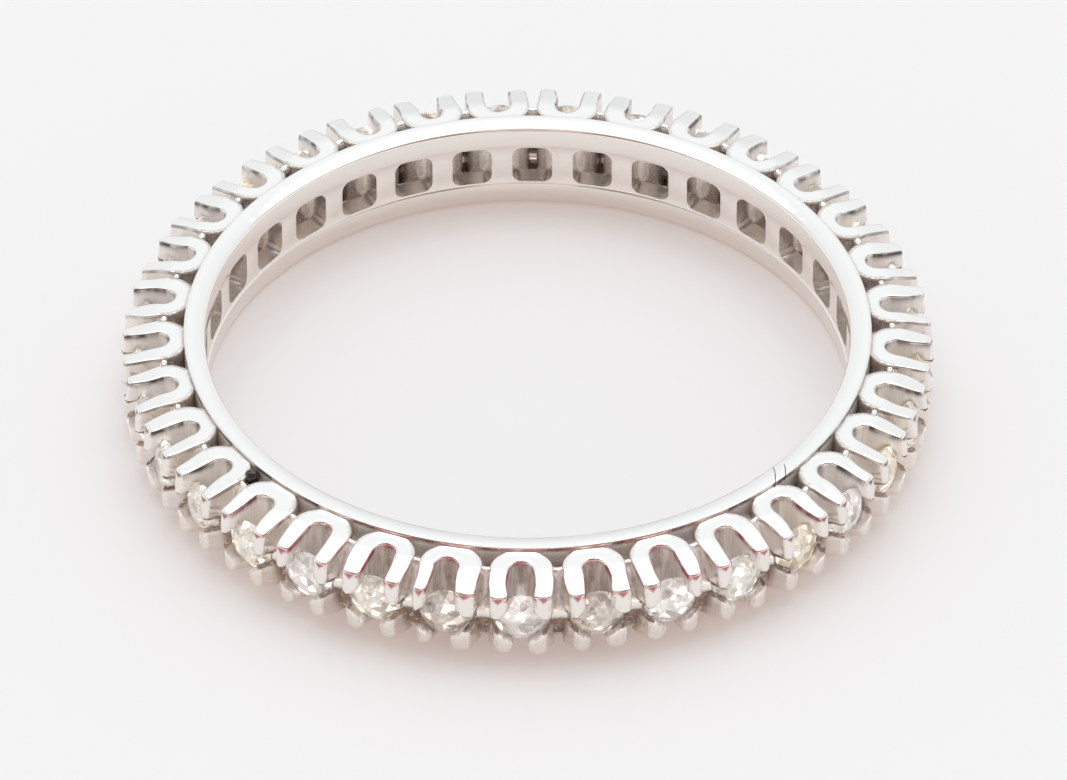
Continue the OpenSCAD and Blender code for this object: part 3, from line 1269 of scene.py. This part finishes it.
@dataclass
class Leg:
    """One leg of a cell with its two claws. Side is 1 for the left leg seen from above, or -1."""

    cells: CrownCells
    hand: Hand
    side: int

    @property
    def pick(self) -> int:
        """Which of each pair of the hand's differences is this leg's."""
        return 0 if self.side > 0 else 1

    @property
    def crease_r(self) -> float:
        """Where the leg's top ends."""
        return SIZES.crease_r + self.hand.crease_r

    @property
    def crease_z(self) -> float:
        """How high the leg's top ends."""
        return SIZES.crease_z + self.hand.crease_z[self.pick]

    def _end_r(self, z: np.ndarray, share: np.ndarray, inset: np.ndarray) -> np.ndarray:
        """How far the claws' front faces lie from the ring's axis.

        Args:
            z: heights above the middle plane.
            share: 0 at the slot to 1 at the outside.
            inset: how far the points of share 0 and 1 stand back from the faces.

        Returns:
            The distances, which are the side wall's between the claws.
        """
        s, cells = SIZES, self.cells
        size = np.abs(z)
        claw_w = s.cell_half_w - cells.low_side - s.low_notch_half_w
        across = share + (1 - 2 * share) * inset / claw_w
        lean = (size - s.tip_z) / (self.crease_z - s.tip_z)
        face = s.tip_r + (self.crease_r - s.tip_r) * lean - cells.sag * (2 * across - 1) ** 2
        face = face - rounding(size - s.tip_z, cells.tip_round_r)
        face = face - np.where(z < 0, cells.low_dome * share_of(size, *cells.low_dome_depth) ** 2, 0)
        return np.where(size < s.tip_z - cells.tip_play, s.side_wall_r, face)

    def _sides(self, r: np.ndarray, z: np.ndarray) -> tuple[np.ndarray, np.ndarray]:
        """Where the slot's face and the outside lie across the cell, with their unsteady cut.

        Args:
            r: distances from the ring's axis.
            z: heights above the middle plane.

        Returns:
            The half widths of the slot and of the outside.
        """
        along = share_of(r, SIZES.notch_r, SIZES.tip_r)
        slot, flank = (np.sin(waves * math.pi * along) for waves in self.cells.waves)
        inner = self.cells.inner(r, z, self.hand) + self.hand.waver[self.pick] * slot
        outer = self.cells.outer(r, z, self.hand.taper) + self.hand.waver[1 - self.pick] * flank
        return inner, outer

    def _placed(self, r: np.ndarray, t: np.ndarray, z: np.ndarray, share: np.ndarray) -> np.ndarray:
        """Joins distance, place across the cell and height into points."""
        return np.stack([r, self.side * t + self.hand.notch_shift * (1 - share), z], axis=-1)

    def _nick(self, t: np.ndarray, z: np.ndarray, near: bool) -> np.ndarray:
        """Places points in the three-cornered nick under the crease.

        Args:
            t: places across the cell.
            z: heights above the middle plane.
            near: whether the points are near the claws.

        Returns:
            Place across and below in shares of the nick, and 1 on the upper claw or else 0.
        """
        if not near:
            return np.stack([0 * t, 0 * t - self.cells.clear_of_claws, 0 * t], axis=-1)
        middle = (SIZES.mouth_half_w + SIZES.cell_half_w) / 2
        across = (t - middle) / self.hand.nick_half_w[self.pick]
        top = self.crease_z - self.cells.edge_r * self.cells.edge_middle
        below = (top - z) / self.hand.nick_h[self.pick]
        return np.stack([across, below, np.where(z > 0, 1.0, 0.0)], axis=-1)

    def run(self) -> Surface:
        """Builds the leg from beside the slot's round end to the edges of its front faces.

        Returns:
            The surface.
        """
        s, cells = SIZES, self.cells
        rows, stains_and_shade, claws = [], [], []
        places = [(along, 0.0) for along in cells.leg_places]
        places += [(1.0, k / cells.end_steps) for k in range(1, cells.end_steps + 1)]
        for along, bend in places:
            angle = bend * math.pi / 2
            ease = 1 - math.cos(angle)
            low_r, drop = cells.low_r(along), cells.low_drop * along**2
            loop = cells.loop(ease, low_r)
            margin = np.where(loop.code > 0, cells.edge_r, low_r)
            inwards = np.where(loop.on_face, cells.edge_r * ease, loop.side)
            end_z = cells.height(loop.code, np.full(len(loop.code), self.crease_z), loop.fall, low_r, drop)
            stop = self._end_r(end_z, loop.share, np.where(loop.flat, margin, inwards))
            edge = cells.end_edge(end_z)
            r = s.notch_r + along * (stop - edge - s.notch_r) + edge * math.sin(angle)
            z = cells.height(loop.code, cells.top(r, self.crease_r, self.crease_z), loop.fall, low_r, drop)
            inner, outer = self._sides(r, z)
            squeeze = np.minimum(1, cells.squeeze * (outer - inner) / margin)
            inset = np.where(loop.on_face, edge * ease, loop.side * squeeze)
            t = loop.across(inner, outer, margin * squeeze, inset)
            rows.append(self._placed(r, t, z, loop.share))
            stained_and_shaded = loop.stains_and_shade.copy()
            outside = loop.share == 1
            stained_and_shaded[outside, 2] *= 1 - cells.flank_wear * self.hand.aside
            # Grime and painted shade on the lower outside of the leg, fading away from the back.
            groove = (loop.code < 0) & outside & loop.on_face
            stained_and_shaded[groove, 1] = np.maximum(stained_and_shaded[groove, 1], 1 - along / cells.low_grime_and_shade_l)
            stains_and_shade.append(stained_and_shaded)
            claws.append(self._nick(t, z, along == 1))
        return Surface(np.array(rows), np.array(stains_and_shade), np.array(claws), True)

    def front(self) -> Surface:
        """Builds the front faces of both claws and the recess between them.

        Returns:
            The surface.
        """
        cells = self.cells
        low_r = cells.low_r(1.0)
        soft = low_r - cells.low_end_r
        down = [(EDGE, cells.edge_r, 0.0)] + [(code, 0.0, 0.0) for code in cells.side_codes()]
        for turn in np.linspace(math.pi / 2, 0, cells.corner_steps + 1):
            rise = cells.low_end_r + soft * (1 - math.cos(turn))
            down.append((-EDGE, rise, soft * (1 - math.sin(turn))))
        code, fall, narrow = np.array(down).T
        low = code == -EDGE
        recess = np.where(np.abs(code) < cells.gap_h, 1.0, 0.0)
        rows, claws = [], []
        for k in range(cells.across_steps + 2):
            share = np.full(len(code), k / (cells.across_steps + 1))
            z = cells.height(code, np.full(len(code), self.crease_z), fall, low_r, cells.low_drop)
            r = self._end_r(z, share, np.where(low, cells.low_end_r + narrow, cells.edge_r))
            z = cells.height(code, cells.top(r, self.crease_r, self.crease_z), fall, low_r, cells.low_drop)
            inner, outer = self._sides(r, z)
            squeeze = np.where(low, np.minimum(1, cells.squeeze * (outer - inner) / low_r), 1)
            edge = (cells.end_edge(z) + narrow) * squeeze
            t = inner + edge + share * (outer - inner - 2 * edge)
            rows.append(self._placed(r, t, z, share))
            claws.append(self._nick(t, z, True))
        # Grime and painted shade in the recess between the claws.
        stains_and_shade = np.stack([0 * recess, recess, cells.gap_skin * recess], axis=-1)
        return Surface(np.array(rows), np.tile(stains_and_shade, (len(rows), 1, 1)), np.array(claws), False)


@dataclass
class Web:
    """The metal in the grooves between the cells: a bead at each rail and a lip on the middle plane.

    Its rows run from the upper bead over the lip to the lower bead. Each has its distance from the
    ring's axis, its height, how far it bulges, its grime, which is painted shade as well below the lip,
    and its share of cast skin.
    """

    embed: float = 0.05
    columns: int = 8
    sharp_deg: float = 60.0
    rows: tuple[tuple[float, float, float, float, float], ...] = (
        (9.51, 0.93, 0.0, 0.0, 0.8),
        (9.51, 1.01, 0.01, 0.0, 0.2),
        (9.53, 1.065, 0.02, 0.0, 0.0),
        (9.57, 1.1, 0.03, 0.0, 0.0),
        (9.63, 1.115, 0.035, 0.0, 0.0),
        (9.69, 1.1, 0.03, 0.0, 0.0),
        (9.73, 1.06, 0.02, 0.0, 0.0),
        (9.75, 1.0, 0.0, 0.0, 0.4),
        (9.765, 0.92, -0.04, 0.0, 0.8),
        (9.79, 0.79, -0.07, 0.0, 1.0),
        (9.84, 0.6, -0.08, 0.0, 1.0),
        (9.965, 0.42, -0.07, 0.0, 1.0),
        (10.08, 0.31, -0.05, 0.1, 1.0),
        (10.17, 0.23, -0.02, 0.1, 0.6),
        (10.23, 0.18, 0.02, 0.0, 0.2),
        (10.265, 0.12, 0.03, 0.0, 0.1),
        (10.28, 0.04, 0.03, 0.0, 0.1),
        # From here down, under the lip, the grime column is painted shade as well.
        (10.28, -0.05, 0.03, 0.2, 0.2),
        (10.265, -0.11, 0.03, 1.0, 0.6),
        (10.2, -0.17, 0.0, 1.0, 1.0),
        (10.13, -0.25, -0.02, 1.0, 1.0),
        (10.08, -0.4, -0.03, 1.0, 1.0),
        (10.06, -0.56, -0.03, 1.0, 1.0),
        (10.06, -0.68, -0.02, 1.0, 0.8),
        (10.05, -0.77, 0.0, 0.3, 0.3),
        (10.01, -0.86, 0.0, 0.0, 0.1),
        (9.94, -0.93, 0.0, 0.0, 0.0),
        (9.82, -0.97, 0.0, 0.0, 0.0),
        (9.66, -0.985, 0.02, 0.0, 0.0),
        (9.58, -0.99, 0.03, 0.0, 0.0),
        (9.53, -0.975, 0.02, 0.0, 0.0),
        (9.51, -0.92, 0.0, 0.0, 0.6),
    )

    def build(self, finish: bpy.types.Material) -> bpy.types.Object:
        """Builds the web in every groove and dresses it.

        Args:
            finish: the metal.

        Returns:
            The piece.
        """
        s = SIZES
        draft = Draft()
        r, z, bulge, grime_and_shade, skin = np.array(self.rows).T
        slope = np.gradient(np.stack([r, z]), axis=1)
        normal = np.stack([-slope[1], slope[0]]) / np.linalg.norm(slope, axis=0)
        across = np.linspace(-1, 1, self.columns + 1)
        stains_and_shade = np.stack([0 * grime_and_shade, grime_and_shade, skin], axis=-1)[:, None, :]
        for number in range(1, s.cells + 1):
            angle = s.cell_angle(number + 0.5)
            half = r * math.tan(s.pitch / 2) - s.cell_half_w / math.cos(s.pitch / 2) + self.embed
            rise = (1 - across[None, :] ** 2) * bulge[:, None]
            radial = r[:, None] - normal[0][:, None] * rise
            height = z[:, None] - normal[1][:, None] * rise
            points = turned(radial, across[None, :] * half[:, None], height, angle)
            draft.grid(points, False, np.broadcast_to(stains_and_shade, points.shape))
        return draft.piece("web", finish, self.sharp_deg)


@dataclass
class Diamonds:
    """The round stones, cut by hand, so no two are the same.

    Corners lie in rings between the table and the culet. Star is the ring below the table: its
    height as a share of the crown's and how loosely it was cut. Lower is the ring below the girdle:
    its radius and depth as shares of the stone's and the pavilion's, and how loosely it was cut.
    Tints are each body colour with the top of its share of the stones, and seen holds the front's.
    """

    sides: int = 8
    girdle_sides: int = 32
    loose_angle: float = 0.02
    loose_z_share: float = 0.1
    table_spread: tuple[float, float] = (0.92, 1.06)
    star_out: float = 0.02
    star: tuple[float, float] = (0.58, 0.008)
    lower: tuple[float, float, float] = (0.42, 0.62, 0.01)
    culet: float = 0.05
    loose_tilt: float = 0.03
    tilt_share: float = 0.4
    flat_deg: float = 0.5
    tints: tuple[tuple[StoneTint, float], ...] = (
        (StoneTint.CLEAR, 0.45),
        (StoneTint.FAINT_GREEN, 0.75),
        (StoneTint.FAINT_YELLOW, 0.93),
        (StoneTint.CHAMPAGNE, 1.0),
    )
    seen: dict[int, StoneTint] = field(
        default_factory=lambda: {
            1: StoneTint.CLEAR,
            2: StoneTint.SMOKY,
            3: StoneTint.CLEAR,
            4: StoneTint.FAINT_GREEN,
            5: StoneTint.CHAMPAGNE,
            6: StoneTint.CLEAR,
            29: StoneTint.FAINT_YELLOW,
            30: StoneTint.FAINT_YELLOW,
            31: StoneTint.CLEAR,
            32: StoneTint.FAINT_YELLOW,
            33: StoneTint.SMOKY,
        }
    )
    finishes: dict[StoneTint, bpy.types.Material] = field(default_factory=dict)

    def _ring(
        self, rng: random.Random, radius: float, z: float, turn: float, loose: float
    ) -> list[tuple[float, float, float]]:
        """One ring of a stone's corners.

        Args:
            rng: the seeded source of chance.
            radius: the ring's radius.
            z: its height above the girdle.
            turn: how far it is turned, in shares of a side.
            loose: how loosely it was cut.

        Returns:
            The corners.
        """
        corners = []
        for k in range(self.sides):
            a = 2 * math.pi * (k + turn) / self.sides + rng.gauss(0, self.loose_angle)
            reach = radius * (1 + rng.gauss(0, loose))
            height = z + rng.gauss(0, loose * self.loose_z_share)
            corners.append((reach * math.cos(a), reach * math.sin(a), height))
        return corners

    def _cut(self, rng: random.Random) -> list[tuple[float, float, float]]:
        """The corners of one stone, with its table towards +Z and its girdle at zero.

        Args:
            rng: the seeded source of chance.

        Returns:
            The corners, whose hull is the stone.
        """
        s = SIZES
        half = s.girdle_t / 2
        table = s.stone_r * s.table_share * rng.uniform(*self.table_spread)
        star_h, star_loose = self.star
        lower_r, lower_h, lower_loose = self.lower
        corners = self._ring(rng, table, half + s.crown_h, 0.0, 0.0)
        star_r = (table + s.stone_r) / 2 + self.star_out
        corners += self._ring(rng, star_r, half + s.crown_h * star_h, 0.5, star_loose)
        for z in (half, -half):
            for k in range(self.girdle_sides):
                a = 2 * math.pi * k / self.girdle_sides
                corners.append((s.stone_r * math.cos(a), s.stone_r * math.sin(a), z))
        corners += self._ring(rng, s.stone_r * lower_r, -half - s.pavilion_h * lower_h, 0.5, lower_loose)
        corners += self._ring(rng, s.stone_r * self.culet, -half - s.pavilion_h, 0.0, 0.0)
        return corners

    def build(self, rng: random.Random) -> list[bpy.types.Object]:
        """Builds every stone and dresses it.

        Args:
            rng: the seeded source of chance.

        Returns:
            The pieces.
        """
        s = SIZES
        made = []
        for number in range(1, s.cells + 1):
            draw = rng.random()
            tint = self.seen.get(number, next(t for t, limit in self.tints if draw <= limit))
            if tint not in self.finishes:
                self.finishes[tint] = OldCutDiamond(tint).material()
            spin = rng.uniform(0, 2 * math.pi / self.sides)
            lean_x, lean_y = rng.gauss(0, self.loose_tilt), rng.gauss(0, self.loose_tilt)
            c, d = math.cos(spin), math.sin(spin)
            work = bmesh.new()
            for x, y, z in self._cut(rng):
                x, y = x * c - y * d, x * d + y * c
                radial = s.girdle_r + z + lean_x * x * self.tilt_share + lean_y * y * self.tilt_share
                place = turned(np.array(radial), np.array(x), np.array(y), s.cell_angle(number))
                work.verts.new(Vector(place * MM) + Vector((0, 0, s.half_h * MM)))
            bmesh.ops.convex_hull(work, input=work.verts)
            flat = math.radians(self.flat_deg)
            bmesh.ops.dissolve_limit(work, angle_limit=flat, verts=work.verts, edges=work.edges)
            bmesh.ops.recalc_face_normals(work, faces=work.faces)
            name = f"diamond_{number:02d}"
            mesh = bpy.data.meshes.new(name)
            work.to_mesh(mesh)
            work.free()
            mesh.materials.append(self.finishes[tint])
            stone = bpy.data.objects.new(name, mesh)
            bpy.context.scene.collection.objects.link(stone)
            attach(stone, "root")
            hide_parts(f"stone_{number:02d}")
            made.append(stone)
        LOG.info("diamonds: %d stones", len(made))
        return made


@dataclass
class RepairMarks:
    """What a repair left: a black bead of flux in one piercing, and two hair-fine cracks over the rail.

    Places are given as the cell number, which may be a fraction, the distance from the ring's axis
    and the height above the middle plane.
    """

    bead: tuple[float, float, float] = (29.42, 9.27, 1.04)
    bead_r: float = 0.21
    bead_steps: int = 12
    crack_r: float = 0.014
    crack_steps: int = 6
    crack_power: int = 6
    cracks: tuple[tuple[tuple[float, float, float], ...], ...] = (
        (
            (5.5, 8.55, 1.23),
            (5.44, 8.7, 1.273),
            (5.34, 8.88, 1.303),
            (5.25, 9.02, 1.3),
            (5.21, 9.08, 1.262),
            (5.19, 9.12, 1.19),
        ),
        (
            (5.66, 8.72, 1.277),
            (5.57, 8.88, 1.303),
            (5.48, 9.02, 1.3),
            (5.44, 9.08, 1.262),
            (5.4, 9.1, 1.19),
        ),
    )

    def build(self, finish: bpy.types.Material) -> None:
        """Builds the bead and the cracks.

        Args:
            finish: the burnt flux.
        """
        number, r, z = self.bead
        down = np.linspace(0, math.pi, self.bead_steps + 1)[:, None]
        around = np.linspace(0, 2 * math.pi, 2 * self.bead_steps, endpoint=False)[None, :]
        wide = self.bead_r * np.sin(down)
        drop = turned(
            r + wide * np.cos(around),
            wide * np.sin(around),
            z + self.bead_r * np.cos(down) + 0 * around,
            SIZES.cell_angle(number),
        )
        bead = Draft()
        bead.grid(drop, True)
        bead.piece("flux_bead", finish)
        lines = Draft()
        for crack in self.cracks:
            path = np.array(
                [turned(np.array(d), np.array(0.0), np.array(h), SIZES.cell_angle(n)) for n, d, h in crack]
            )
            share = np.linspace(0, len(path) - 1, self.crack_steps * (len(path) - 1) + 1)
            path = np.stack([np.interp(share, range(len(path)), path[:, k]) for k in range(3)], axis=-1)
            along = np.gradient(path, axis=0)
            along /= np.linalg.norm(along, axis=1)[:, None]
            out = np.cross(along, [0, 0, 1])
            out /= np.linalg.norm(out, axis=1)[:, None]
            up = np.cross(out, along)
            thick = self.crack_r * np.sqrt(1 - np.linspace(-1, 1, len(path)) ** self.crack_power)
            turns = np.linspace(0, 2 * math.pi, self.crack_steps, endpoint=False)
            ring = np.cos(turns)[None, :, None] * out[:, None] + np.sin(turns)[None, :, None] * up[:, None]
            lines.grid(path[:, None] + ring * thick[:, None, None], True)
        lines.piece("rail_cracks", finish)


@dataclass
class Studio:
    """White card in a light tent: a wide lamp high at the back, white walls and a dim warm front.

    Each light is a colour and a strength. The directions are parts of a unit vector from the ring: x
    to either side, y to the back and z up. A pair of them is where a light starts and where it is full.
    """

    card_half_m: float = 2.0
    lamp: tuple[str, float] = ("#F8FDFF", 2.5)
    lamp_z: tuple[float, float] = (0.76, 0.87)
    lamp_y: tuple[float, float] = (-0.1, 0.25)
    back: tuple[str, float] = ("#F0F8FE", 1.17)
    back_low: tuple[str, float] = ("#F0F8FE", 0.97)
    back_low_z: tuple[float, float] = (0.22, 0.5)
    back_narrowing: float = 0.4
    back_x: tuple[float, float] = (0.1, 0.5)
    side: tuple[str, float] = ("#F8FDFF", 0.8)
    side_y: float = 0.1
    reach_y: float = 0.4
    front: tuple[str, float] = ("#EDD4C5", 0.4)
    front_x: tuple[float, float] = (0.4, 0.75)
    front_wide: float = 0.35
    strip: tuple[str, float] = ("#F6E6E0", 0.85)
    strip_x: tuple[float, float] = (0.14, 0.3)
    horizon: tuple[str, float] = ("#FAF7F5", 1.4)
    horizon_z: tuple[float, float] = (0.2, 0.46)
    gap: str = "#9C8682"
    gap_deg: tuple[float, float] = (10.5, 3.5)

    def card(self) -> bpy.types.Object:
        """Lays the card on which the ring rests.

        Returns:
            The card, which is part of the stage.
        """
        mesh = bpy.data.meshes.new("card")
        h = self.card_half_m
        mesh.from_pydata([(-h, -h, 0), (h, -h, 0), (h, h, 0), (-h, h, 0)], [], [(0, 1, 2, 3)])
        mesh.materials.append(PaintedGlowCard().material())
        card = bpy.data.objects.new("card", mesh)
        bpy.context.scene.collection.objects.link(card)
        return card

    def light(self, towards_camera: Vector) -> None:
        """Fills the world with the soft light.

        Args:
            towards_camera: the direction of the gap in the light tent, where the lens looks in.
        """
        world = bpy.data.worlds.new("light_tent")
        world.use_nodes = True
        tree = world.node_tree
        tree.nodes.clear()
        direction = add_node(tree, "TexCoord").outputs["Generated"]
        x, y, z = add_node(tree, "SeparateXYZ", (direction,)).outputs
        aside = add_node(tree, "Math", (x,), operation="ABSOLUTE").outputs[0]
        facing = add_node(
            tree, "VectorMath", (direction, tuple(towards_camera)), operation="DOT_PRODUCT"
        ).outputs["Value"]
        in_front, at_back, dimming, narrowing, low, back_high, in_middle, lamp_high, lamp_back, lens = (
            add_node(tree, "MapRange", (value, *reach)).outputs[0]
            for value, reach in (
                (y, (self.side_y, self.side_y - self.reach_y)),
                (y, (self.side_y, self.side_y + self.reach_y)),
                (aside, (*self.front_x, 1.0, self.front_wide)),
                (aside, (*self.back_x, 0.0, self.back_narrowing)),
                (z, (*self.horizon_z, 1.0, 0.0)),
                (z, self.back_low_z),
                (aside, (*self.strip_x, 1.0, 0.0)),
                (z, self.lamp_z),
                (y, self.lamp_y),
                (facing, [math.cos(math.radians(edge)) for edge in self.gap_deg]),
            )
        )
        dim, in_strip, overhead = (
            add_node(tree, "Math", shares, operation="MULTIPLY").outputs[0]
            for shares in ((in_front, dimming), (in_middle, in_front), (lamp_high, lamp_back))
        )
        behind = add_node(tree, "Math", (at_back, narrowing), operation="SUBTRACT").outputs[0]
        backs = {FACTOR: back_high, COLOUR_A: linear(*self.back_low), COLOUR_B: linear(*self.back)}
        back = add_node(tree, "Mix", backs, data_type="RGBA").outputs[COLOUR_OUT]
        light: Feed = linear(*self.side)
        for share, over in (
            (dim, linear(*self.front)),
            (low, linear(*self.horizon)),
            (behind, back),
            (in_strip, linear(*self.strip)),
            (overhead, linear(*self.lamp)),
            (lens, linear(self.gap)),
        ):
            light = add_node(
                tree, "Mix", {FACTOR: share, COLOUR_A: light, COLOUR_B: over}, data_type="RGBA"
            ).outputs[COLOUR_OUT]
        glow = add_node(tree, "Background", {"Color": light})
        add_node(tree, "OutputWorld", {"Surface": glow.outputs["Background"]})
        bpy.context.scene.world = world


@dataclass
class Eye:
    """The camera, fitted to the photograph: far away, long lens, looking down."""

    azimuth_deg: float = 0.84
    elevation_deg: float = 39.08
    distance_mm: float = 365.05
    centre_z_mm: float = 2.47
    lens_mm: float = 467.25
    sensor_mm: float = 36.0
    right_mm: float = 0.1529
    up_mm: float = -1.5525
    clip_m: tuple[float, float] = (0.02, 10.0)

    def back(self) -> Vector:
        """Direction from the ring to the camera."""
        a, e = math.radians(self.azimuth_deg), math.radians(self.elevation_deg)
        return Vector((math.sin(a) * math.cos(e), -math.cos(a) * math.cos(e), math.sin(e)))

    def place(self) -> bpy.types.Object:
        """Puts the camera in the scene.

        Returns:
            The camera.
        """
        back = self.back()
        right = Vector((0, 0, 1)).cross(back).normalized()
        up = back.cross(right)
        centre = Vector((0, 0, self.centre_z_mm))
        eye = centre + back * self.distance_mm
        aim = centre + right * self.right_mm + up * self.up_mm
        data = bpy.data.cameras.new("camera")
        data.sensor_width = self.sensor_mm
        data.lens = self.lens_mm
        data.clip_start, data.clip_end = self.clip_m
        camera = bpy.data.objects.new("camera", data)
        camera.location = eye * MM
        camera.rotation_mode = "QUATERNION"
        camera.rotation_quaternion = (aim - eye).to_track_quat("-Z", "Y")
        bpy.context.scene.collection.objects.link(camera)
        bpy.context.scene.camera = camera
        return camera


def main() -> None:
    """Builds the camera, the studio and every piece of the ring, and logs how many faces the pieces have."""
    logging.basicConfig(level=logging.INFO, format="%(message)s")
    rng = random.Random(HAND_SEED)
    eye = Eye()
    eye.place()
    studio = Studio()
    studio.card()
    studio.light(eye.back())
    bpy.context.scene.view_settings.view_transform = "Standard"
    rail_gold = WhiteGold("white_gold_rails", skin_dark="#F6E8DC", skin_matt=(0.92, 1.0)).material()
    cell_gold = WhiteGold("white_gold_cells").material()
    web_gold = WhiteGold("white_gold_web").material()
    hoop = Hoop().build(rail_gold)
    CrownCells().build(cell_gold, rng)
    Web().build(web_gold)
    Diamonds().build(rng)
    RepairMarks().build(BurntFlux().material())
    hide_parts("setting")


if __name__ == "__main__":
    main()
